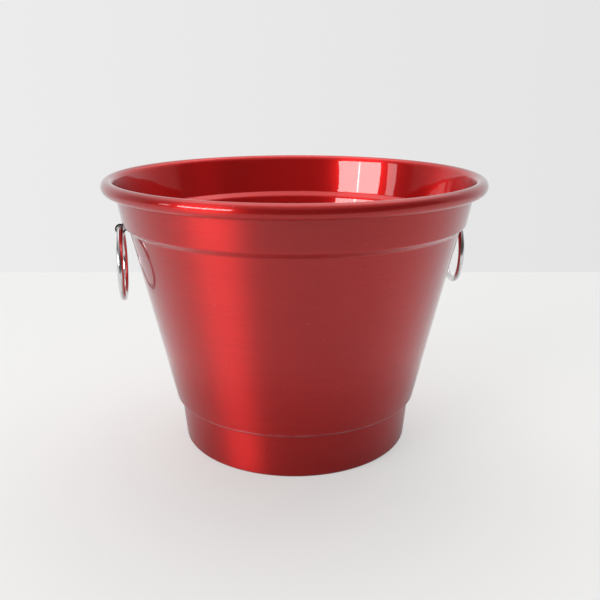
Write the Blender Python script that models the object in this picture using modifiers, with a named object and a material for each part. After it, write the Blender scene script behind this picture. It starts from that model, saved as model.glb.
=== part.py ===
"""Round metal planter pot with a rolled rim and two loose ring handles.

One drawn sheet makes the pot: foot, tapered wall, shoulder, plain band and a rim that
is curled outwards. Each handle is a wire ring that hangs in the loop of a split pin,
whose two legs pass through the wall under the shoulder and are bent apart inside.
The pot stands on Z = 0 with its axis on Z, and the handles lie on the X axis.
Lengths are in metres.
"""

import math

import bmesh
import bpy

# Sheet and overall size
SHEET_THICKNESS = 0.0008
RIM_RADIUS = 0.125
POT_HEIGHT = 0.1812

# Rolled rim: an upright oval curl, open underneath
BEAD_WIDTH = 0.0083
BEAD_HEIGHT = 0.0089
CURL_END_ANGLE = math.radians(-135.0)

# Band and shoulder: the band's lower edge is measured in and down from the rim
BAND_EDGE_INSET = 0.01185
BAND_DEPTH = 0.0284
BAND_EDGE_FILLET = 0.0015
BAND_TOP_FILLET = 0.008
SHOULDER_RUN = 0.00419
SHOULDER_DROP = 0.0043
SHOULDER_FOOT_FILLET = 0.0020

# Foot, and the step out to the tapered wall above it
FOOT_TOP_RADIUS = 0.0802
FOOT_TAPER = 0.0028
FOOT_TOP_FILLET = 0.0014
FOOT_BOTTOM_FILLET = 0.0026
STEP_RUN = 0.0031
STEP_DROP = 0.0023
WALL_BOTTOM_HEIGHT = 0.0318
WALL_BOTTOM_FILLET = 0.0018

# Bottom: a flat ring to stand on, round a panel that is pressed up a little
STANDING_RING_WIDTH = 0.0095
PANEL_RISE = 0.0016
PANEL_SLOPE_WIDTH = 0.0028
PANEL_FILLET = 0.0020

# Ring handles
RING_OUTSIDE_DIAMETER = 0.049
RING_WIRE_DIAMETER = 0.004
LEFT_RING_TURN = math.radians(-2.5)
RIGHT_RING_TURN = math.radians(-8.0)

# Split pins, bent from half-round wire
PIN_WIRE_THICKNESS = 0.0011
PIN_RISE = 0.0003
PIN_LEG_GAP = 0.0002
PIN_NECK_RADIUS = 0.0015
PIN_BEND_RADIUS = 0.0016
UPPER_LEG_LENGTH = 0.0075
LOWER_LEG_LENGTH = 0.0095

# Clearances
RING_PLAY = 0.0003
LOOP_TO_SHOULDER = 0.00035
PIN_HOLE_CLEARANCE = 0.0003
LEG_TO_WALL = 0.0003

# Facets
TURNED_STEPS = 64
RING_STEPS = 48
RING_WIRE_STEPS = 10
CURL_STEPS = 14
LOOP_STEPS = 14
HALF_ROUND_STEPS = 6
BEND_STEPS = 4
HOLE_STEPS = 20
MERGE_DISTANCE = 0.00001
SHARP_ANGLE = math.radians(40.0)

# Sizes that follow from the ones above
BAND_EDGE_RADIUS = RIM_RADIUS - BAND_EDGE_INSET
BAND_EDGE_HEIGHT = POT_HEIGHT - BAND_DEPTH
SHOULDER_FOOT_RADIUS = BAND_EDGE_RADIUS - SHOULDER_RUN
SHOULDER_FOOT_HEIGHT = BAND_EDGE_HEIGHT - SHOULDER_DROP
FOOT_BOTTOM_RADIUS = FOOT_TOP_RADIUS - FOOT_TAPER
WALL_BOTTOM_RADIUS = FOOT_TOP_RADIUS + STEP_RUN
PIN_AXIS_HEIGHT = SHOULDER_FOOT_HEIGHT + PIN_RISE
RING_CENTRE_LINE_RADIUS = (RING_OUTSIDE_DIAMETER - RING_WIRE_DIAMETER) / 2
LOOP_INNER_RADIUS = RING_WIRE_DIAMETER / 2 + RING_PLAY
LOOP_OUTER_RADIUS = LOOP_INNER_RADIUS + PIN_WIRE_THICKNESS
WALL_SLOPE = math.atan2(SHOULDER_FOOT_RADIUS - WALL_BOTTOM_RADIUS, SHOULDER_FOOT_HEIGHT - WALL_BOTTOM_HEIGHT)


def loop_centre_radius():
    """Distance from the pot's axis at which a pin's loop just clears the shoulder."""
    shoulder_length = math.hypot(SHOULDER_RUN, SHOULDER_DROP)
    sine = SHOULDER_DROP / shoulder_length
    cosine = SHOULDER_RUN / shoulder_length
    reach = LOOP_OUTER_RADIUS + LOOP_TO_SHOULDER
    return SHOULDER_FOOT_RADIUS + (reach + PIN_RISE * cosine) / sine


def offset_corners(corners, distance):
    """Shift an open path to its left by a distance, keeping its corners mitred."""
    directions = []
    for start, end in zip(corners, corners[1:]):
        length = math.dist(start, end)
        directions.append(((end[0] - start[0]) / length, (end[1] - start[1]) / length))
    shifted = []
    for index, (x, y) in enumerate(corners):
        before = directions[max(index - 1, 0)]
        after = directions[min(index, len(directions) - 1)]
        normal_x = -(before[1] + after[1])
        normal_y = before[0] + after[0]
        scale = distance / (1 + before[0] * after[0] + before[1] * after[1])
        shifted.append((x + normal_x * scale, y + normal_y * scale))
    return shifted


def fillet(before, corner, after, radius, steps):
    """Points of the arc that rounds one corner of a path."""
    in_length = math.dist(before, corner)
    out_length = math.dist(corner, after)
    ux, uy = (corner[0] - before[0]) / in_length, (corner[1] - before[1]) / in_length
    vx, vy = (after[0] - corner[0]) / out_length, (after[1] - corner[1]) / out_length
    turn = math.atan2(ux * vy - uy * vx, ux * vx + uy * vy)
    side = math.copysign(1.0, turn)
    tangent = radius * math.tan(abs(turn) / 2)
    start_x, start_y = corner[0] - ux * tangent, corner[1] - uy * tangent
    centre_x, centre_y = start_x - uy * radius * side, start_y + ux * radius * side
    points = []
    for step in range(steps + 1):
        angle = turn * step / steps
        arm_x, arm_y = start_x - centre_x, start_y - centre_y
        x = centre_x + arm_x * math.cos(angle) - arm_y * math.sin(angle)
        y = centre_y + arm_x * math.sin(angle) + arm_y * math.cos(angle)
        points.append((x, y))
    return points


def rounded_path(corners, roundings):
    """Open path through the corners; each inner corner has a fillet radius and its facets."""
    points = [corners[0]]
    for index, (radius, steps) in enumerate(roundings, start=1):
        points += fillet(corners[index - 1], corners[index], corners[index + 1], radius, steps)
    points.append(corners[-1])
    return points


def pot_profile():
    """Middle line of the sheet, from the centre of the bottom to the end of the curl."""
    panel_radius = FOOT_BOTTOM_RADIUS - STANDING_RING_WIDTH - PANEL_SLOPE_WIDTH
    bead_inner_radius = RIM_RADIUS - BEAD_WIDTH
    bead_bottom = POT_HEIGHT - BEAD_HEIGHT
    bead_middle = POT_HEIGHT - BEAD_HEIGHT / 2
    outside = [
        (0.0, PANEL_RISE),
        (panel_radius, PANEL_RISE),
        (panel_radius + PANEL_SLOPE_WIDTH, 0.0),
        (FOOT_BOTTOM_RADIUS, 0.0),
        (FOOT_TOP_RADIUS, WALL_BOTTOM_HEIGHT - STEP_DROP),
        (WALL_BOTTOM_RADIUS, WALL_BOTTOM_HEIGHT),
        (SHOULDER_FOOT_RADIUS, SHOULDER_FOOT_HEIGHT),
        (BAND_EDGE_RADIUS, BAND_EDGE_HEIGHT),
        (bead_inner_radius + SHEET_THICKNESS, bead_bottom),
        (bead_inner_radius + SHEET_THICKNESS, bead_middle),
    ]
    roundings = [
        (PANEL_FILLET, 1),
        (PANEL_FILLET, 1),
        (FOOT_BOTTOM_FILLET, 4),
        (FOOT_TOP_FILLET, 2),
        (WALL_BOTTOM_FILLET, 3),
        (SHOULDER_FOOT_FILLET, 2),
        (BAND_EDGE_FILLET, 3),
        (BAND_TOP_FILLET, 1),
    ]
    points = rounded_path(offset_corners(outside, SHEET_THICKNESS / 2), roundings)
    curl_centre = (RIM_RADIUS - BEAD_WIDTH / 2, bead_middle)
    half_width = (BEAD_WIDTH - SHEET_THICKNESS) / 2
    half_height = (BEAD_HEIGHT - SHEET_THICKNESS) / 2
    for step in range(1, CURL_STEPS + 1):
        angle = math.pi + (CURL_END_ANGLE - math.pi) * step / CURL_STEPS
        x = curl_centre[0] + half_width * math.cos(angle)
        z = curl_centre[1] + half_height * math.sin(angle)
        points.append((x, z))
    return points


def neck_arc(neck_x, side, steps):
    """Arc that leads a leg of the pin into its loop, above the axis or below it."""
    centre_height = PIN_LEG_GAP / 2 + PIN_NECK_RADIUS
    end_angle = math.atan2(-centre_height, -neck_x)
    points = []
    for step in range(steps + 1):
        angle = -math.pi / 2 + (end_angle + math.pi / 2) * step / steps
        x = neck_x + PIN_NECK_RADIUS * math.cos(angle)
        y = centre_height + PIN_NECK_RADIUS * math.sin(angle)
        points.append((x, side * y))
    return points


def pin_path():
    """Flat inner line of a split pin's wire, about the centre of its loop, X outwards.

    It runs from the tip of the upper leg through the wall, round the loop and back to
    the tip of the lower leg.
    """
    half_gap = PIN_LEG_GAP / 2
    centre_height = half_gap + PIN_NECK_RADIUS
    neck_x = -math.sqrt((LOOP_INNER_RADIUS + PIN_NECK_RADIUS) ** 2 - centre_height**2)
    neck_angle = math.atan2(centre_height, neck_x)
    wall_inside = SHOULDER_FOOT_RADIUS - SHEET_THICKNESS / math.cos(WALL_SLOPE) - loop_centre_radius()
    bend_x = wall_inside - (PIN_WIRE_THICKNESS + LEG_TO_WALL) / math.cos(WALL_SLOPE)
    leg_run = math.sin(WALL_SLOPE)
    leg_rise = math.cos(WALL_SLOPE)
    upper_tip = (bend_x + UPPER_LEG_LENGTH * leg_run, half_gap + UPPER_LEG_LENGTH * leg_rise)
    lower_tip = (bend_x - LOWER_LEG_LENGTH * leg_run, -half_gap - LOWER_LEG_LENGTH * leg_rise)
    points = [upper_tip]
    points += fillet(upper_tip, (bend_x, half_gap), (neck_x, half_gap), PIN_BEND_RADIUS, BEND_STEPS)
    points += neck_arc(neck_x, 1.0, BEND_STEPS)
    for step in range(1, LOOP_STEPS):
        angle = neck_angle * (1 - 2 * step / LOOP_STEPS)
        points.append((LOOP_INNER_RADIUS * math.cos(angle), LOOP_INNER_RADIUS * math.sin(angle)))
    points += reversed(neck_arc(neck_x, -1.0, BEND_STEPS))
    points += fillet((neck_x, -half_gap), (bend_x, -half_gap), lower_tip, PIN_BEND_RADIUS, BEND_STEPS)
    points.append(lower_tip)
    return points


def clear_scene():
    for item in list(bpy.data.objects):
        bpy.data.objects.remove(item, do_unlink=True)


def new_collection(name):
    collection = bpy.data.collections.new(name)
    bpy.context.scene.collection.children.link(collection)
    return collection


def move_to(item, collection):
    for current in list(item.users_collection):
        current.objects.unlink(item)
    collection.objects.link(item)


def make_material(name, colour, metallic, roughness, coat=0.0):
    material = bpy.data.materials.new(name)
    material.use_nodes = True
    shader = material.node_tree.nodes["Principled BSDF"]
    shader.inputs["Base Color"].default_value = (*colour, 1.0)
    shader.inputs["Metallic"].default_value = metallic
    shader.inputs["Roughness"].default_value = roughness
    shader.inputs["Coat Weight"].default_value = coat
    return material


def red_lacquer():
    """Clear red lacquer over brushed metal."""
    return make_material("red_lacquer", (0.42, 0.018, 0.022), 0.85, 0.30, 1.0)


def polished_steel():
    return make_material("polished_steel", (0.80, 0.80, 0.81), 1.0, 0.10)


def dark_steel():
    return make_material("dark_steel", (0.035, 0.033, 0.034), 0.9, 0.22)


def hide_cutter(item):
    item.hide_render = True
    item.display_type = "WIRE"


def make_hole_cutter(collection):
    """One drill through both sides of the pot, on the axis of the two pins."""
    hole_radius = PIN_LEG_GAP / 2 + PIN_WIRE_THICKNESS + PIN_HOLE_CLEARANCE
    bpy.ops.mesh.primitive_cylinder_add(
        vertices=HOLE_STEPS,
        radius=hole_radius,
        depth=2 * RIM_RADIUS,
        location=(0.0, 0.0, PIN_AXIS_HEIGHT),
        rotation=(0.0, math.pi / 2, 0.0),
    )
    cutter = bpy.context.active_object
    cutter.name = "pin_hole_cutter"
    hide_cutter(cutter)
    move_to(cutter, collection)
    return cutter


def make_pot(collection, cutter, material):
    """The drawn sheet: its middle line turned about Z, then given its thickness."""
    profile = pot_profile()
    mesh = bpy.data.meshes.new("pot_body")
    vertices = [(x, 0.0, z) for x, z in profile]
    edges = [(index, index + 1) for index in range(len(profile) - 1)]
    mesh.from_pydata(vertices, edges, [])
    mesh.materials.append(material)
    pot = bpy.data.objects.new("pot_body", mesh)
    collection.objects.link(pot)
    turn = pot.modifiers.new("turn", "SCREW")
    turn.axis = "Z"
    turn.steps = TURNED_STEPS
    turn.render_steps = TURNED_STEPS
    turn.use_merge_vertices = True
    turn.merge_threshold = MERGE_DISTANCE
    turn.use_smooth_shade = True
    sheet = pot.modifiers.new("sheet", "SOLIDIFY")
    sheet.thickness = SHEET_THICKNESS
    sheet.offset = 0.0
    sheet.use_even_offset = True
    holes = pot.modifiers.new("pin_holes", "BOOLEAN")
    holes.operation = "DIFFERENCE"
    holes.solver = "EXACT"
    holes.object = cutter
    return pot


def make_pivot(side, turn, collection):
    """Empty on a ring's swing axis, in the middle of the pin's loop; its X is the ring's normal."""
    pivot = bpy.data.objects.new("pivot_left" if side < 0 else "pivot_right", None)
    pivot.empty_display_size = RING_CENTRE_LINE_RADIUS / 2
    pivot.location = (side * loop_centre_radius(), 0.0, PIN_AXIS_HEIGHT)
    pivot.rotation_euler = (0.0, 0.0, turn)
    collection.objects.link(pivot)
    return pivot


def make_ring(name, pivot, collection, material):
    """Wire ring that hangs from its pivot."""
    bpy.ops.mesh.primitive_torus_add(
        major_segments=RING_STEPS,
        minor_segments=RING_WIRE_STEPS,
        major_radius=RING_CENTRE_LINE_RADIUS,
        minor_radius=RING_WIRE_DIAMETER / 2,
    )
    ring = bpy.context.active_object
    ring.name = name
    ring.data.name = name
    ring.parent = pivot
    ring.location = (0.0, 0.0, -RING_CENTRE_LINE_RADIUS)
    ring.rotation_euler = (0.0, math.pi / 2, 0.0)
    ring.data.materials.append(material)
    ring.data.shade_smooth()
    move_to(ring, collection)
    return ring


def half_round_section(collection):
    """Section of the pin's wire: a half circle, widened to the wire's full width."""
    curve = bpy.data.curves.new("half_round_section", "CURVE")
    curve.dimensions = "2D"
    spline = curve.splines.new("POLY")
    spline.points.add(HALF_ROUND_STEPS)
    for step, point in enumerate(spline.points):
        angle = math.pi * step / HALF_ROUND_STEPS
        x = -PIN_WIRE_THICKNESS * math.sin(angle)
        y = PIN_WIRE_THICKNESS * math.cos(angle)
        point.co = (x, y, 0.0, 1.0)
    spline.use_cyclic_u = True
    section = bpy.data.objects.new("half_round_section", curve)
    hide_cutter(section)
    collection.objects.link(section)
    return section


def make_pin_mesh(section, material):
    """Mesh of one split pin, from its path and its half-round section."""
    curve = bpy.data.curves.new("split_pin", "CURVE")
    curve.dimensions = "2D"
    curve.fill_mode = "NONE"
    curve.bevel_mode = "OBJECT"
    curve.bevel_object = section
    curve.use_fill_caps = True
    path = pin_path()
    spline = curve.splines.new("POLY")
    spline.points.add(len(path) - 1)
    for point, (x, y) in zip(spline.points, path):
        point.co = (x, y, 0.0, 1.0)
    source = bpy.data.objects.new("split_pin_path", curve)
    bpy.context.scene.collection.objects.link(source)
    graph = bpy.context.evaluated_depsgraph_get()
    mesh = bpy.data.meshes.new_from_object(source.evaluated_get(graph))
    bpy.data.objects.remove(source, do_unlink=True)
    shape = bmesh.new()
    shape.from_mesh(mesh)
    bmesh.ops.remove_doubles(shape, verts=shape.verts, dist=MERGE_DISTANCE)
    bmesh.ops.recalc_face_normals(shape, faces=shape.faces)
    shape.to_mesh(mesh)
    shape.free()
    mesh.materials.clear()
    mesh.materials.append(material)
    mesh.shade_smooth()
    mesh.set_sharp_from_angle(angle=SHARP_ANGLE)
    return mesh


def make_pin(name, side, mesh, collection):
    """Split pin with its loop outside the wall and its legs inside."""
    pin = bpy.data.objects.new(name, mesh)
    pin.location = (side * loop_centre_radius(), 0.0, PIN_AXIS_HEIGHT)
    pin.rotation_euler = (math.pi / 2, 0.0, math.pi if side < 0 else 0.0)
    collection.objects.link(pin)
    return pin


def main():
    clear_scene()
    parts = new_collection("planter_pot")
    cutters = new_collection("cutters")
    steel = polished_steel()
    cutter = make_hole_cutter(cutters)
    make_pot(parts, cutter, red_lacquer())
    pin_mesh = make_pin_mesh(half_round_section(cutters), dark_steel())
    for side, name, turn in ((-1, "left", LEFT_RING_TURN), (1, "right", RIGHT_RING_TURN)):
        make_pin(f"split_pin_{name}", side, pin_mesh, parts)
        make_ring(f"ring_handle_{name}", make_pivot(side, turn, parts), parts, steel)


main()
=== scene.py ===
"""Looks of the round metal planter pot: red lacquer over brushed metal, with two ring handles."""

import math

import bmesh
import bpy
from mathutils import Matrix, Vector


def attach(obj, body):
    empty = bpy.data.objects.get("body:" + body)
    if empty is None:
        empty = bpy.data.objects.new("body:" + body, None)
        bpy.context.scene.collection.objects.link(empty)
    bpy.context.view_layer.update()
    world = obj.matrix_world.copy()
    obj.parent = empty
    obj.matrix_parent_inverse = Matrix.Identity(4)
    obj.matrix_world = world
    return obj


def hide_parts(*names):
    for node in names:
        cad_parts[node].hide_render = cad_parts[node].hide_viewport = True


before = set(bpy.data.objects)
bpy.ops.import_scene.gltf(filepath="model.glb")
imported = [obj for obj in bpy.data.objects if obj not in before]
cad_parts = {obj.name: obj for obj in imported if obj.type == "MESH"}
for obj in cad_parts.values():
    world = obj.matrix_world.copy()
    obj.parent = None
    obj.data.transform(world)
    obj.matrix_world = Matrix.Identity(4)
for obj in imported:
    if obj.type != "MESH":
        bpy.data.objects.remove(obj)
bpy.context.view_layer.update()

# The pot, in metres. The CAD source has the same sizes, apart from the foot of the shoulder and the
# way the band runs into the curl.
SHEET_THICKNESS = 0.0008
RIM_RADIUS = 0.125
POT_HEIGHT = 0.1812
BEAD_WIDTH = 0.0083
BEAD_HEIGHT = 0.0089
CURL_END_ANGLE = math.radians(-135.0)
BAND_EDGE_RADIUS = 0.11315
BAND_EDGE_HEIGHT = 0.1528
BAND_EDGE_FILLET = 0.0015
SHOULDER_FOOT_RADIUS = 0.10896
SHOULDER_FOOT_HEIGHT = 0.1485
SHOULDER_RISE = 0.0010
SHOULDER_FOOT_FILLET = 0.0026
WALL_BOTTOM_RADIUS = 0.0833
WALL_BOTTOM_HEIGHT = 0.0318
WALL_BOTTOM_FILLET = 0.0018
FOOT_TOP_RADIUS = 0.0802
FOOT_TOP_HEIGHT = 0.0295
FOOT_TOP_FILLET = 0.0014
FOOT_BOTTOM_RADIUS = 0.0774
FOOT_BOTTOM_FILLET = 0.0026
STANDING_RING_WIDTH = 0.0095
PANEL_RISE = 0.0016
PANEL_SLOPE_WIDTH = 0.0028
PANEL_FILLET = 0.0020
WALL_SLOPE = math.atan2(
    SHOULDER_FOOT_RADIUS - WALL_BOTTOM_RADIUS,
    SHOULDER_FOOT_HEIGHT - WALL_BOTTOM_HEIGHT,
)

# Ring handles and their split pins
LOOP_CENTRE_RADIUS = 0.11448823
PIN_AXIS_HEIGHT = 0.1488
RING_CENTRE_LINE_RADIUS = 0.0225
RING_WIRE_RADIUS = 0.002
LEFT_RING_TURN = math.radians(-2.5)
RIGHT_RING_TURN = math.radians(-8.0)
PIN_WIRE_THICKNESS = 0.0011
PIN_LEG_GAP = 0.0002
PIN_NECK_RADIUS = 0.0015
PIN_BEND_RADIUS = 0.0016
UPPER_LEG_LENGTH = 0.0075
LOWER_LEG_LENGTH = 0.0095
LOOP_INNER_RADIUS = 0.0023
LEG_TO_WALL = 0.0003
PIN_HOLE_RADIUS = 0.0015

# Fineness of the meshes
TURNED_STEPS = 256
FILLET_STEPS = 8
CURL_STEPS = 42
CURL_START_TRIES = 12
ROW_SPACING = 0.006
BOTTOM_ROW_RADII = (0.02, 0.045)
HOLE_SIDES = 32
RING_STEPS = 128
WIRE_STEPS = 32
PIN_BEND_STEPS = 12
LOOP_STEPS = 48
PIN_SECTION_STEPS = 16
SHARP_ANGLE = math.radians(40.0)

# A radius below the first counts as on the axis. The second keeps the lacquer from dividing by zero.
ON_AXIS = 1e-7
SMALLEST_SQUARE = 1e-8

# Colours, linear
LACQUER_DARK = (0.50, 0.010, 0.010, 1.0)
LACQUER_LIGHT = (0.59, 0.015, 0.013, 1.0)
LACQUER_DEEP = (0.46, 0.003, 0.008, 1.0)
# Brighter red painted on the inward faces as painted light
LACQUER_INSIDE_PAINTED_LIGHT = (0.80, 0.010, 0.010, 1.0)
# Pale colour of the highlight painted along the step above the foot
LACQUER_PAINTED_HIGHLIGHT = (0.80, 0.42, 0.46, 1.0)
LACQUER_EDGE_TINT = (0.62, 0.95, 1.0, 1.0)
DUST = (0.75, 0.30, 0.28, 1.0)
PLATING_DARK = (0.66, 0.65, 0.66, 1.0)
PLATING_LIGHT = (0.77, 0.76, 0.77, 1.0)
PIN_DARK = (0.022, 0.020, 0.021, 1.0)
PIN_LIGHT = (0.055, 0.050, 0.051, 1.0)
PIN_EDGE_TINT = (0.25, 0.24, 0.24, 1.0)
FLOOR_DARK = (0.845, 0.845, 0.840, 1.0)
FLOOR_LIGHT = (0.865, 0.865, 0.860, 1.0)
WALL_LEFT = (0.838, 0.838, 0.838, 1.0)
WALL_RIGHT = (0.775, 0.775, 0.775, 1.0)
ROOM_SHADE = (0.03, 0.03, 0.03, 1.0)

# Scales of the lacquer's noise. The first one of a pair is round the pot, the second across its lines.
# The shares say how much of each goes into the brushing.
FINE_BRUSHING = (3.0, 2600.0)
BROAD_BRUSHING = (1.2, 420.0)
FINE_SHARE = 0.6
BROAD_SHARE = 0.4
CLOUD_SCALE = 16.0
SPECK_SCALE = 900.0
# The next scale sets how uneven the highlight painted on the step is
STEP_HIGHLIGHT_SCALE = 180.0
RIPPLE_SCALE = 65.0

# Heights between which a pale highlight is painted on the lacquer, and over which that starts and ends
STEP_HIGHLIGHT_LOW = 0.0297
STEP_HIGHLIGHT_HIGH = 0.0328
STEP_HIGHLIGHT_START = 0.0006
STEP_HIGHLIGHT_END = 0.0008

# The camera looks along this bearing, turned from +Y towards +X
CAMERA_TURN = math.radians(12.0)
CAMERA_PITCH = math.radians(16.64)
CAMERA_PLACE = (-0.10016, -0.48784, 0.2429)
CAMERA_LENS = 44.94
SENSOR_WIDTH = 36.0
NEAREST_SEEN = 0.01
CAMERA_FORWARD = (math.sin(CAMERA_TURN), math.cos(CAMERA_TURN), 0.0)

# The floor, along that bearing: its far and near edges and its half width, the share of it that glows,
# and how far glossy rays see it darkened well in front of the pot and round the foot
WALL_DISTANCE = 0.441
FLOOR_FRONT = 0.75
FLOOR_HALF_WIDTH = 3.0
FLOOR_GLOW = 0.58
FLOOR_FALL = 0.8
FOOT_SHADE = 0.32

# Distances over which these change, along that bearing for the fall and from the pot's axis for the
# other two, and the share of the glow that is left in reflections near the pot
FALL_REACH = (-0.40, -0.48)
SHADE_REACH = (0.12, 0.18)
GLOW_REACH = (0.09, 0.26)
GLOW_NEAR_POT = 0.20

# Light levels of the room round the pot, and the direction of its overhead light, ahead and up
FRONT_LEVEL = 0.10
BACK_LEVEL = 0.30
CEILING_LEVEL = 0.58
OVERHEAD_LEVEL = 1.55
OVERHEAD_AHEAD = 0.5
OVERHEAD_UP = 0.866

# How far a direction has to point each way for its level to start and to be full, and the same for
# the wall to be seen and for its tone from left to right
BACK_REACH = (-0.03, 0.12)
CEILING_REACH = (0.45, 1.0)
OVERHEAD_REACH = (0.70, 0.97)
WALL_REACH = (0.25, 0.75)
WALL_WIDTH = (-0.4, 0.4)

# Soft lamps: bearing from the camera's side round to its left and elevation, in degrees, then
# distance, width and height in metres, and power in watts
LAMPS = {
    "window": (49.5, 12.5, 3.0, 1.70, 0.77, 56.0),
    "window_side": (75.5, 14.5, 3.0, 0.37, 0.55, 3.1),
    "window_gap": (49.0, 12.5, 2.95, 0.05, 0.60, 2.2),
    "key": (217.0, 50.0, 1.6, 1.0, 1.0, 1.2),
}
LAMP_TARGET = Vector((0.0, 0.0, 0.09))


def offset_corners(corners, distance):
    """Shift an open path to its left by a distance, keeping its corners mitred."""
    directions = []
    for start, end in zip(corners, corners[1:]):
        length = math.dist(start, end)
        directions.append(((end[0] - start[0]) / length, (end[1] - start[1]) / length))
    shifted = []
    for index, (x, y) in enumerate(corners):
        before = directions[max(index - 1, 0)]
        after = directions[min(index, len(directions) - 1)]
        scale = distance / (1 + before[0] * after[0] + before[1] * after[1])
        shifted.append((x - (before[1] + after[1]) * scale, y + (before[0] + after[0]) * scale))
    return shifted


def fillet(before, corner, after, radius, steps):
    """Points of the arc that rounds one corner of a path."""
    in_length = math.dist(before, corner)
    out_length = math.dist(corner, after)
    ux, uy = (corner[0] - before[0]) / in_length, (corner[1] - before[1]) / in_length
    vx, vy = (after[0] - corner[0]) / out_length, (after[1] - corner[1]) / out_length
    turn = math.atan2(ux * vy - uy * vx, ux * vx + uy * vy)
    side = math.copysign(1.0, turn)
    tangent = radius * math.tan(abs(turn) / 2)
    start_x, start_y = corner[0] - ux * tangent, corner[1] - uy * tangent
    centre_x, centre_y = start_x - uy * radius * side, start_y + ux * radius * side
    arm_x, arm_y = start_x - centre_x, start_y - centre_y
    points = []
    for step in range(steps + 1):
        angle = turn * step / steps
        x = centre_x + arm_x * math.cos(angle) - arm_y * math.sin(angle)
        y = centre_y + arm_x * math.sin(angle) + arm_y * math.cos(angle)
        points.append((x, y))
    return points


def pot_profile():
    """Middle line of the sheet, from the centre of the bottom to the end of the curl."""
    panel_radius = FOOT_BOTTOM_RADIUS - STANDING_RING_WIDTH - PANEL_SLOPE_WIDTH
    shoulder_radius = SHOULDER_FOOT_RADIUS + SHOULDER_RISE * math.tan(WALL_SLOPE)
    curl_centre = (RIM_RADIUS - BEAD_WIDTH / 2, POT_HEIGHT - BEAD_HEIGHT / 2)
    half_width = (BEAD_WIDTH - SHEET_THICKNESS) / 2
    half_height = (BEAD_HEIGHT - SHEET_THICKNESS) / 2
    # Angle at which the straight band touches the oval of the curl, closed in on step by step
    curl_start = math.pi
    for _ in range(CURL_START_TRIES):
        start_x = curl_centre[0] + half_width * math.cos(curl_start)
        start_z = curl_centre[1] + half_height * math.sin(curl_start)
        lean = (start_x - BAND_EDGE_RADIUS + SHEET_THICKNESS / 2) / (start_z - BAND_EDGE_HEIGHT)
        curl_start = math.pi - math.atan(lean * half_height / half_width)
    outside = [
        (0.0, PANEL_RISE),
        (panel_radius, PANEL_RISE),
        (panel_radius + PANEL_SLOPE_WIDTH, 0.0),
        (FOOT_BOTTOM_RADIUS, 0.0),
        (FOOT_TOP_RADIUS, FOOT_TOP_HEIGHT),
        (WALL_BOTTOM_RADIUS, WALL_BOTTOM_HEIGHT),
        (shoulder_radius, SHOULDER_FOOT_HEIGHT + SHOULDER_RISE),
        (BAND_EDGE_RADIUS, BAND_EDGE_HEIGHT),
        (start_x + SHEET_THICKNESS / 2, start_z),
    ]
    radii = [
        PANEL_FILLET,
        PANEL_FILLET,
        FOOT_BOTTOM_FILLET,
        FOOT_TOP_FILLET,
        WALL_BOTTOM_FILLET,
        SHOULDER_FOOT_FILLET,
        BAND_EDGE_FILLET,
    ]
    corners = offset_corners(outside, SHEET_THICKNESS / 2)
    points = [(radius, corners[0][1]) for radius in (0.0, *BOTTOM_ROW_RADII)]
    for index, radius in enumerate(radii, start=1):
        points += fillet(corners[index - 1], corners[index], corners[index + 1], radius, FILLET_STEPS)
    for step in range(CURL_STEPS + 1):
        angle = curl_start + (CURL_END_ANGLE - curl_start) * step / CURL_STEPS
        x = curl_centre[0] + half_width * math.cos(angle)
        z = curl_centre[1] + half_height * math.sin(angle)
        points.append((x, z))
    return points


def add_rows(points, spacing):
    """Put extra points along the long straight runs of a path."""
    dense = [points[0]]
    for start, end in zip(points, points[1:]):
        rows = max(1, round(math.dist(start, end) / spacing))
        for row in range(1, rows + 1):
            share = row / rows
            dense.append((start[0] + (end[0] - start[0]) * share, start[1] + (end[1] - start[1]) * share))
    return dense


def new_object(name, mesh, material):
    item = bpy.data.objects.new(name, mesh)
    bpy.context.scene.collection.objects.link(item)
    mesh.materials.clear()
    mesh.materials.append(material)
    return item


def make_pot(material):
    """The sheet turned about Z, with both its faces, and the two holes for the pins."""
    line = add_rows(pot_profile(), ROW_SPACING)
    outer = offset_corners(line, -SHEET_THICKNESS / 2)
    inner = offset_corners(line, SHEET_THICKNESS / 2)
    outer[0] = (0.0, outer[0][1])
    inner[0] = (0.0, inner[0][1])
    path = outer + inner[::-1]
    vertices = []
    rows = []
    for x, z in path:
        if x < ON_AXIS:
            rows.append([len(vertices)])
            vertices.append((0.0, 0.0, z))
            continue
        rows.append(list(range(len(vertices), len(vertices) + TURNED_STEPS)))
        for step in range(TURNED_STEPS):
            angle = 2 * math.pi * (step + 0.5) / TURNED_STEPS
            vertices.append((x * math.cos(angle), x * math.sin(angle), z))
    faces = []
    for low, high in zip(rows, rows[1:]):
        for step in range(TURNED_STEPS):
            following = (step + 1) % TURNED_STEPS
            if len(low) == 1:
                faces.append((low[0], high[following], high[step]))
            elif len(high) == 1:
                faces.append((low[step], low[following], high[0]))
            else:
                faces.append((low[step], low[following], high[following], high[step]))
    mesh = bpy.data.meshes.new("planter_pot")
    mesh.from_pydata(vertices, [], faces)
    pot = new_object("planter_pot", mesh, material)
    bpy.ops.mesh.primitive_cylinder_add(
        vertices=HOLE_SIDES,
        radius=PIN_HOLE_RADIUS,
        depth=2 * RIM_RADIUS,
        location=(0.0, 0.0, PIN_AXIS_HEIGHT),
        rotation=(0.0, math.pi / 2, 0.0),
    )
    drill = bpy.context.active_object
    cut = pot.modifiers.new("pin_holes", "BOOLEAN")
    cut.operation = "DIFFERENCE"
    cut.solver = "EXACT"
    cut.object = drill
    graph = bpy.context.evaluated_depsgraph_get()
    drilled = bpy.data.meshes.new_from_object(pot.evaluated_get(graph))
    pot.modifiers.remove(cut)
    bpy.data.objects.remove(drill, do_unlink=True)
    pot.data = drilled
    drilled.name = "planter_pot"
    drilled.materials.clear()
    drilled.materials.append(material)
    drilled.shade_smooth()
    drilled.set_sharp_from_angle(angle=SHARP_ANGLE)
    return pot


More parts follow.
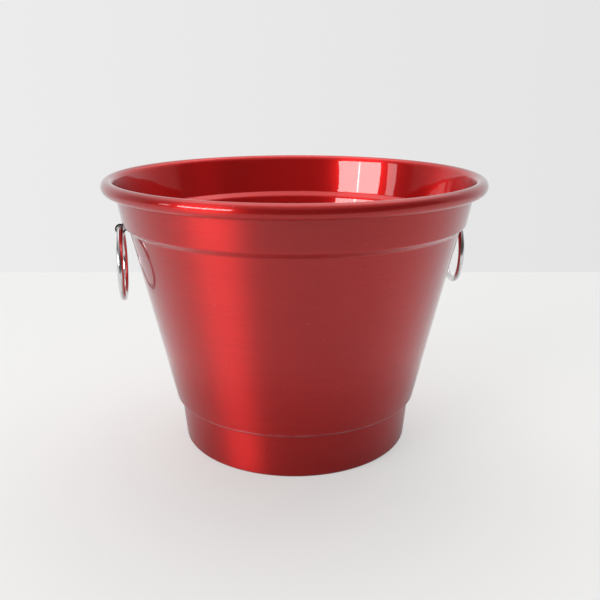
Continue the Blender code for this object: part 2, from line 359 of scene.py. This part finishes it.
def make_ring(name, side, turn, material):
    """Wire ring that hangs in the loop of its pin."""
    bpy.ops.mesh.primitive_torus_add(
        major_segments=RING_STEPS,
        minor_segments=WIRE_STEPS,
        major_radius=RING_CENTRE_LINE_RADIUS,
        minor_radius=RING_WIRE_RADIUS,
    )
    ring = bpy.context.active_object
    ring.name = name
    ring.location = (side * LOOP_CENTRE_RADIUS, 0.0, PIN_AXIS_HEIGHT - RING_CENTRE_LINE_RADIUS)
    ring.rotation_euler = (0.0, math.pi / 2, turn)
    ring.data.materials.append(material)
    ring.data.shade_smooth()
    return ring


def neck_arc(neck_x, side):
    """Arc that leads a leg of the pin into its loop, above the axis or below it."""
    centre_height = PIN_LEG_GAP / 2 + PIN_NECK_RADIUS
    end_angle = math.atan2(-centre_height, -neck_x)
    points = []
    for step in range(PIN_BEND_STEPS + 1):
        angle = -math.pi / 2 + (end_angle + math.pi / 2) * step / PIN_BEND_STEPS
        x = neck_x + PIN_NECK_RADIUS * math.cos(angle)
        y = centre_height + PIN_NECK_RADIUS * math.sin(angle)
        points.append((x, side * y))
    return points


def pin_path():
    """Flat inner line of a pin's half-round wire, about the centre of its loop, X outwards."""
    half_gap = PIN_LEG_GAP / 2
    centre_height = half_gap + PIN_NECK_RADIUS
    neck_x = -math.sqrt((LOOP_INNER_RADIUS + PIN_NECK_RADIUS) ** 2 - centre_height**2)
    neck_angle = math.atan2(centre_height, neck_x)
    wall_inside = SHOULDER_FOOT_RADIUS - SHEET_THICKNESS / math.cos(WALL_SLOPE) - LOOP_CENTRE_RADIUS
    bend_x = wall_inside - (PIN_WIRE_THICKNESS + LEG_TO_WALL) / math.cos(WALL_SLOPE)
    leg_run = math.sin(WALL_SLOPE)
    leg_rise = math.cos(WALL_SLOPE)
    upper_tip = (bend_x + UPPER_LEG_LENGTH * leg_run, half_gap + UPPER_LEG_LENGTH * leg_rise)
    lower_tip = (bend_x - LOWER_LEG_LENGTH * leg_run, -half_gap - LOWER_LEG_LENGTH * leg_rise)
    points = [upper_tip]
    points += fillet(upper_tip, (bend_x, half_gap), (neck_x, half_gap), PIN_BEND_RADIUS, PIN_BEND_STEPS)
    points += neck_arc(neck_x, 1.0)
    for step in range(1, LOOP_STEPS):
        angle = neck_angle * (1 - 2 * step / LOOP_STEPS)
        points.append((LOOP_INNER_RADIUS * math.cos(angle), LOOP_INNER_RADIUS * math.sin(angle)))
    points += reversed(neck_arc(neck_x, -1.0))
    points += fillet((neck_x, -half_gap), (bend_x, -half_gap), lower_tip, PIN_BEND_RADIUS, PIN_BEND_STEPS)
    points.append(lower_tip)
    return points


def make_pin(name, side, material):
    """Split pin of half-round wire, its loop outside the wall and its legs bent apart inside."""
    path = pin_path()
    section = []
    for step in range(PIN_SECTION_STEPS + 1):
        angle = math.pi * step / PIN_SECTION_STEPS
        section.append((PIN_WIRE_THICKNESS * math.sin(angle), PIN_WIRE_THICKNESS * math.cos(angle)))
    shape = bmesh.new()
    rows = []
    for index, (x, y) in enumerate(path):
        before = path[max(index - 1, 0)]
        after = path[min(index + 1, len(path) - 1)]
        length = math.dist(before, after)
        out_x, out_y = (after[1] - before[1]) / length, -(after[0] - before[0]) / length
        row = []
        for out, across in section:
            row.append(shape.verts.new((x - out_x * out, y - out_y * out, across)))
        rows.append(row)
    count = len(section)
    for low, high in zip(rows, rows[1:]):
        for step in range(count):
            following = (step + 1) % count
            shape.faces.new((low[step], low[following], high[following], high[step]))
    shape.faces.new(rows[0])
    shape.faces.new(rows[-1])
    bmesh.ops.recalc_face_normals(shape, faces=shape.faces)
    mesh = bpy.data.meshes.new(name)
    shape.to_mesh(mesh)
    shape.free()
    mesh.shade_smooth()
    mesh.set_sharp_from_angle(angle=SHARP_ANGLE)
    pin = new_object(name, mesh, material)
    pin.location = (side * LOOP_CENTRE_RADIUS, 0.0, PIN_AXIS_HEIGHT)
    pin.rotation_euler = (math.pi / 2, 0.0, math.pi if side < 0 else 0.0)
    return pin


class Nodes:
    """Short way to add and link the nodes of one material or world."""

    def __init__(self, owner):
        owner.use_nodes = True
        self.tree = owner.node_tree

    def add(self, kind, **settings):
        node = self.tree.nodes.new(kind)
        for key, value in settings.items():
            setattr(node, key, value)
        return node

    def link(self, source, target):
        self.tree.links.new(source, target)

    def put(self, socket, value):
        if isinstance(value, bpy.types.NodeSocket):
            self.link(value, socket)
        else:
            socket.default_value = value

    def math(self, operation, first, second=0.0):
        node = self.add("ShaderNodeMath", operation=operation)
        for socket, value in zip(node.inputs, (first, second)):
            self.put(socket, value)
        return node.outputs[0]

    def vector(self, x, y, z):
        node = self.add("ShaderNodeCombineXYZ")
        for socket, value in zip(node.inputs, (x, y, z)):
            self.put(socket, value)
        return node.outputs[0]

    def split(self, vector):
        node = self.add("ShaderNodeSeparateXYZ")
        self.link(vector, node.inputs[0])
        return node.outputs

    def dot(self, first, second):
        node = self.add("ShaderNodeVectorMath", operation="DOT_PRODUCT")
        self.put(node.inputs[0], first)
        self.put(node.inputs[1], second)
        return node.outputs["Value"]

    def ramp(self, value, low, high, out_low, out_high, smooth=True):
        """Maps a value from one range to another."""
        node = self.add("ShaderNodeMapRange", clamp=True)
        node.interpolation_type = "SMOOTHSTEP" if smooth else "LINEAR"
        for socket, item in zip(node.inputs, (value, low, high, out_low, out_high)):
            self.put(socket, item)
        return node.outputs[0]

    def noise(self, vector, scale, detail=2.0, roughness=0.5):
        node = self.add("ShaderNodeTexNoise")
        self.link(vector, node.inputs["Vector"])
        node.inputs["Scale"].default_value = scale
        node.inputs["Detail"].default_value = detail
        node.inputs["Roughness"].default_value = roughness
        return node.outputs[0]

    def mix(self, share, first, second):
        """Blend of two colours."""
        node = self.add("ShaderNodeMix", data_type="RGBA")
        self.put(node.inputs["Factor"], share)
        self.put(node.inputs[6], first)
        self.put(node.inputs[7], second)
        return node.outputs[2]

    def bump(self, height, strength, distance, normal=None):
        node = self.add("ShaderNodeBump")
        self.link(height, node.inputs["Height"])
        node.inputs["Strength"].default_value = strength
        node.inputs["Distance"].default_value = distance
        if normal is not None:
            self.link(normal, node.inputs["Normal"])
        return node.outputs[0]


def new_material(name):
    """Material with its nodes, its shader and the place on the object."""
    material = bpy.data.materials.new(name)
    nodes = Nodes(material)
    shader = nodes.tree.nodes["Principled BSDF"]
    place = nodes.add("ShaderNodeTexCoord").outputs["Object"]
    return material, nodes, shader, place


def brushing(nodes, round_x, round_y, across, scales, roughness):
    """Noise drawn out into lines round the pot."""
    round_scale, across_scale = scales
    lines = nodes.vector(
        nodes.math("MULTIPLY", round_x, round_scale),
        nodes.math("MULTIPLY", round_y, round_scale),
        nodes.math("MULTIPLY", across, across_scale),
    )
    return nodes.noise(lines, 1.0, 3.0, roughness)


def red_lacquer():
    """Clear red lacquer over metal that is brushed round and round."""
    material, nodes, shader, place = new_material("red_lacquer")
    x, y, height = nodes.split(place)
    squares = nodes.math("ADD", nodes.math("MULTIPLY", x, x), nodes.math("MULTIPLY", y, y))
    radius = nodes.math("SQRT", nodes.math("MAXIMUM", squares, SMALLEST_SQUARE))
    round_x = nodes.math("DIVIDE", x, radius)
    round_y = nodes.math("DIVIDE", y, radius)
    across = nodes.math("ADD", height, radius)
    fine = brushing(nodes, round_x, round_y, across, FINE_BRUSHING, 0.6)
    broad = brushing(nodes, round_x, round_y, across, BROAD_BRUSHING, 0.55)
    brushed = nodes.math(
        "ADD", nodes.math("MULTIPLY", fine, FINE_SHARE), nodes.math("MULTIPLY", broad, BROAD_SHARE)
    )
    cloud = nodes.noise(place, CLOUD_SCALE)
    speck = nodes.noise(place, SPECK_SCALE, 1.0)
    normal = nodes.add("ShaderNodeNewGeometry").outputs["Normal"]
    facing = nodes.dot(normal, nodes.vector(round_x, round_y, 0.0))

    # Tone of the brushing, with deeper patches
    tone = nodes.ramp(brushed, 0.32, 0.68, 0.0, 1.0, smooth=False)
    colour = nodes.mix(tone, LACQUER_DARK, LACQUER_LIGHT)
    deeper = nodes.ramp(cloud, 0.35, 0.75, 0.0, 0.35)
    colour = nodes.mix(deeper, colour, LACQUER_DEEP)
    # Painted light: a brighter red on the faces that look inwards, standing in for light on the inside of
    # the pot
    inside = nodes.ramp(facing, -0.30, -0.65, 0.0, 0.80)
    colour = nodes.mix(inside, colour, LACQUER_INSIDE_PAINTED_LIGHT)
    # Painted highlight: a pale band along the step above the foot, on the outside only
    above_step = nodes.ramp(height, STEP_HIGHLIGHT_LOW, STEP_HIGHLIGHT_LOW + STEP_HIGHLIGHT_START, 0.0, 1.0)
    below_wall = nodes.ramp(height, STEP_HIGHLIGHT_HIGH - STEP_HIGHLIGHT_END, STEP_HIGHLIGHT_HIGH, 1.0, 0.0)
    step_highlight = nodes.math("MULTIPLY", above_step, below_wall)
    step_highlight = nodes.math("MULTIPLY", step_highlight, nodes.ramp(facing, 0.0, 0.3, 0.0, 1.0))
    uneven = nodes.ramp(nodes.noise(place, STEP_HIGHLIGHT_SCALE), 0.3, 0.7, 0.12, 0.32)
    colour = nodes.mix(nodes.math("MULTIPLY", step_highlight, uneven), colour, LACQUER_PAINTED_HIGHLIGHT)
    dust = nodes.ramp(speck, 0.73, 0.80, 0.0, 0.25)
    colour = nodes.mix(dust, colour, DUST)

    nodes.link(colour, shader.inputs["Base Color"])
    shader.inputs["Metallic"].default_value = 0.88
    nodes.link(nodes.ramp(brushed, 0.3, 0.7, 0.40, 0.46, smooth=False), shader.inputs["Roughness"])
    shader.inputs["Specular Tint"].default_value = LACQUER_EDGE_TINT
    shader.inputs["Anisotropic"].default_value = 0.88
    shader.inputs["Anisotropic Rotation"].default_value = 0.25
    tangent = nodes.add("ShaderNodeTangent", direction_type="RADIAL", axis="Z")
    nodes.link(tangent.outputs[0], shader.inputs["Tangent"])
    nodes.link(nodes.bump(brushed, 0.10, 0.0002), shader.inputs["Normal"])
    shader.inputs["Coat Weight"].default_value = 1.0
    shader.inputs["Coat Roughness"].default_value = 0.03
    shader.inputs["Coat IOR"].default_value = 1.42
    ripple = nodes.noise(place, RIPPLE_SCALE, 1.0)
    wavy = nodes.bump(ripple, 0.22, 0.0004, normal=nodes.bump(cloud, 0.10, 0.0008))
    nodes.link(wavy, shader.inputs["Coat Normal"])
    return material


def polished_steel():
    """Bright plated wire of the rings, with faint marks."""
    material, nodes, shader, place = new_material("polished_steel")
    marks = nodes.noise(place, 1400.0, 3.0, 0.6)
    haze = nodes.noise(place, 120.0)
    colour = nodes.mix(nodes.ramp(haze, 0.35, 0.7, 0.0, 1.0), PLATING_DARK, PLATING_LIGHT)
    nodes.link(colour, shader.inputs["Base Color"])
    shader.inputs["Metallic"].default_value = 1.0
    nodes.link(nodes.ramp(haze, 0.3, 0.75, 0.15, 0.24), shader.inputs["Roughness"])
    nodes.link(nodes.bump(marks, 0.06, 0.0001), shader.inputs["Normal"])
    return material


def dark_steel():
    """Dark polished wire of the split pins."""
    material, nodes, shader, place = new_material("dark_steel")
    marks = nodes.noise(place, 1800.0, 3.0, 0.6)
    haze = nodes.noise(place, 260.0)
    colour = nodes.mix(nodes.ramp(haze, 0.35, 0.7, 0.0, 1.0), PIN_DARK, PIN_LIGHT)
    nodes.link(colour, shader.inputs["Base Color"])
    shader.inputs["Metallic"].default_value = 0.95
    shader.inputs["Specular Tint"].default_value = PIN_EDGE_TINT
    nodes.link(nodes.ramp(haze, 0.3, 0.75, 0.20, 0.32), shader.inputs["Roughness"])
    nodes.link(nodes.bump(marks, 0.10, 0.0001), shader.inputs["Normal"])
    return material


def seen_rays(nodes, light_path, mirrored_share):
    """1 for camera rays, a share for glossy and transmission rays, and 0 for all others."""
    mirrored = nodes.math("MAXIMUM", light_path["Is Glossy Ray"], light_path["Is Transmission Ray"])
    mirrored = nodes.math("MULTIPLY", mirrored, mirrored_share)
    return nodes.math("MAXIMUM", light_path["Is Camera Ray"], mirrored)


def mix_with_glow(nodes, share, surface, colour):
    """Blend of a surface with an even glow."""
    glow = nodes.add("ShaderNodeEmission")
    glow.inputs["Color"].default_value = colour
    blend = nodes.add("ShaderNodeMixShader")
    for socket, value in zip(blend.inputs, (share, surface, glow.outputs[0])):
        nodes.link(value, socket)
    return blend.outputs[0]


def plain_floor():
    """Pale floor.

    A share of it glows to camera, glossy and transmission rays, and near the pot less so to the last
    two. Glossy rays also see it darkened well in front of the pot and round the foot.
    """
    material, nodes, shader, place = new_material("plain_floor")
    grain = nodes.noise(place, 350.0)
    nodes.link(nodes.mix(grain, FLOOR_DARK, FLOOR_LIGHT), shader.inputs["Base Color"])
    shader.inputs["Roughness"].default_value = 0.6
    shader.inputs["Specular IOR Level"].default_value = 0.2
    span = nodes.add("ShaderNodeVectorMath", operation="LENGTH")
    nodes.link(place, span.inputs[0])
    from_axis = span.outputs["Value"]
    light_path = nodes.add("ShaderNodeLightPath").outputs

    seen = seen_rays(nodes, light_path, nodes.ramp(from_axis, *GLOW_REACH, GLOW_NEAR_POT, 1.0))
    glowing = nodes.math("MULTIPLY", seen, FLOOR_GLOW)
    surface = mix_with_glow(nodes, glowing, shader.outputs[0], FLOOR_DARK)

    in_front = nodes.ramp(nodes.dot(place, CAMERA_FORWARD), *FALL_REACH, 0.0, FLOOR_FALL)
    beside = nodes.ramp(from_axis, *SHADE_REACH, FOOT_SHADE, 0.0)
    dimmed = nodes.math("MAXIMUM", in_front, beside)
    dimmed = nodes.math("MULTIPLY", light_path["Is Glossy Ray"], dimmed)
    surface = mix_with_glow(nodes, dimmed, surface, ROOM_SHADE)
    nodes.link(surface, nodes.tree.nodes["Material Output"].inputs["Surface"])
    return material


def make_floor():
    """Floor whose far edge gives the line under the wall."""
    forward = Vector(CAMERA_FORWARD)
    side = Vector((forward.y, -forward.x, 0.0)) * FLOOR_HALF_WIDTH
    near = forward * -FLOOR_FRONT
    far = forward * WALL_DISTANCE
    corners = [tuple(corner) for corner in (near - side, near + side, far + side, far - side)]
    mesh = bpy.data.meshes.new("floor")
    mesh.from_pydata(corners, [], [(0, 1, 2, 3)])
    floor = new_object("floor", mesh, plain_floor())


def make_world():
    """Wall and room round the pot.

    Camera rays see the pale wall, and so do glossy and transmission rays that go its way. All others
    see the room: dark in front of the pot, paler behind it and above, and brightest overhead.
    """
    world = bpy.data.worlds.new("studio")
    bpy.context.scene.world = world
    nodes = Nodes(world)
    background = nodes.tree.nodes["Background"]
    x, y, z = nodes.split(nodes.add("ShaderNodeTexCoord").outputs["Generated"])
    forward_x, forward_y, _ = CAMERA_FORWARD
    ahead = nodes.math(
        "ADD", nodes.math("MULTIPLY", x, forward_x), nodes.math("MULTIPLY", y, forward_y)
    )
    across = nodes.math(
        "SUBTRACT", nodes.math("MULTIPLY", x, forward_y), nodes.math("MULTIPLY", y, forward_x)
    )
    wall = nodes.mix(nodes.ramp(across, *WALL_WIDTH, 0.0, 1.0, smooth=False), WALL_LEFT, WALL_RIGHT)

    behind = nodes.ramp(ahead, *BACK_REACH, 0.0, BACK_LEVEL)
    above = nodes.ramp(z, *CEILING_REACH, 0.0, CEILING_LEVEL)
    towards_light = nodes.math(
        "ADD", nodes.math("MULTIPLY", ahead, OVERHEAD_AHEAD), nodes.math("MULTIPLY", z, OVERHEAD_UP)
    )
    overhead = nodes.ramp(towards_light, *OVERHEAD_REACH, 0.0, OVERHEAD_LEVEL)
    level = nodes.math(
        "ADD", nodes.math("ADD", FRONT_LEVEL, behind), nodes.math("ADD", above, overhead)
    )
    room = nodes.vector(level, level, level)

    light_path = nodes.add("ShaderNodeLightPath").outputs
    seen = seen_rays(nodes, light_path, nodes.ramp(ahead, *WALL_REACH, 0.0, 1.0))
    nodes.link(nodes.mix(seen, room, wall), background.inputs["Color"])
    background.inputs["Strength"].default_value = 1.0


def add_lamp(name, bearing, elevation, distance, width, height, power):
    """Soft lamp that faces the pot and doesn't show to the camera."""
    lamp = bpy.data.lights.new(name, "AREA")
    lamp.shape = "RECTANGLE"
    lamp.size = width
    lamp.size_y = height
    lamp.energy = power
    holder = bpy.data.objects.new(name, lamp)
    bpy.context.scene.collection.objects.link(holder)
    turn = CAMERA_TURN + math.radians(bearing)
    lift = math.radians(elevation)
    away = Vector((-math.sin(turn) * math.cos(lift), -math.cos(turn) * math.cos(lift), math.sin(lift)))
    holder.location = LAMP_TARGET + away * distance
    holder.rotation_euler = away.to_track_quat("Z", "Y").to_euler()
    holder.visible_camera = False


def make_camera():
    camera = bpy.data.cameras.new("camera")
    camera.sensor_width = SENSOR_WIDTH
    camera.lens = CAMERA_LENS
    camera.clip_start = NEAREST_SEEN
    holder = bpy.data.objects.new("camera", camera)
    bpy.context.scene.collection.objects.link(holder)
    holder.location = CAMERA_PLACE
    holder.rotation_euler = (math.pi / 2 - CAMERA_PITCH, 0.0, -CAMERA_TURN)
    bpy.context.scene.camera = holder


def main():
    make_camera()
    bpy.context.scene.view_settings.view_transform = "Standard"
    make_world()
    make_floor()
    for name, values in LAMPS.items():
        add_lamp(name, *values)
    steel = polished_steel()
    wire = dark_steel()
    pot = make_pot(red_lacquer())
    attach(pot, "pot")
    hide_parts("pot_body")
    for side, name, turn in ((-1, "left", LEFT_RING_TURN), (1, "right", RIGHT_RING_TURN)):
        ring = make_ring(f"handle_ring_{name}", side, turn, steel)
        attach(ring, f"{name}_ring")
        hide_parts(f"ring_handle_{name}")
        pin = make_pin(f"cotter_{name}", side, wire)
        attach(pin, "pot")
        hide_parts(f"split_pin_{name}")


main()
